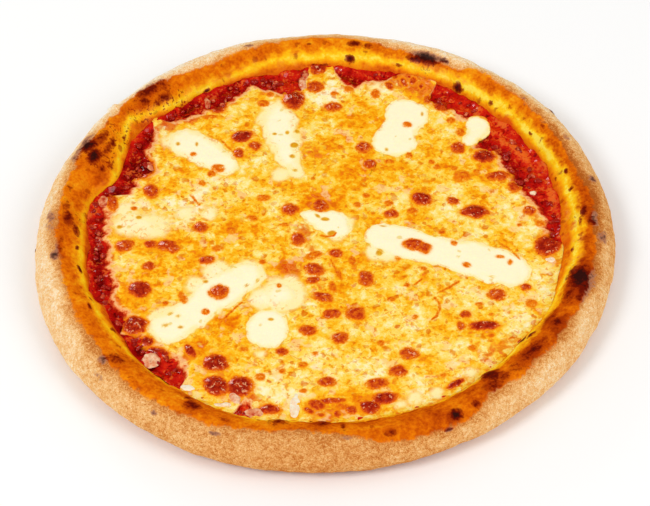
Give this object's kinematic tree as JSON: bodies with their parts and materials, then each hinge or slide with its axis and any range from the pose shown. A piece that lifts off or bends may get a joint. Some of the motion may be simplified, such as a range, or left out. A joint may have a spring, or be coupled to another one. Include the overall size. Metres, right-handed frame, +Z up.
{
  "type": "margherita pizza",
  "caption": "Whole round margherita pizza with a puffed, charred rim, tomato sauce, browned melted cheese and melted pools of white mozzarella.",
  "frame": {"origin": "middle of the crust's flat underside", "axes": "+Z up through the pizza's middle, out of the cheese; -Y towards the side it is mostly looked at from, +X to the right of that"},
  "size_m": [0.3096, 0.31, 0.0244],
  "materials": {
    "crust": "matt baked dough, golden, floured at the side and charred in spots",
    "sauce": "wet red tomato sauce",
    "cheese": "oily melted cheese, cream to orange, with brown blisters",
    "mozzarella": "smooth melted mozzarella, warm white"
  },
  "bodies": {
    "root": {"crust": "crust", "sauce": "sauce", "cheese": "cheese", "mozzarella_upper_left": "mozzarella", "mozzarella_upper": "mozzarella", "mozzarella_upper_right": "mozzarella", "mozzarella_right_edge": "mozzarella", "mozzarella_centre": "mozzarella", "mozzarella_right": "mozzarella", "mozzarella_lower_left": "mozzarella", "mozzarella_lower": "mozzarella", "mozzarella_disc": "mozzarella", "mozzarella_left": "mozzarella"}
  },
  "joints": []
}
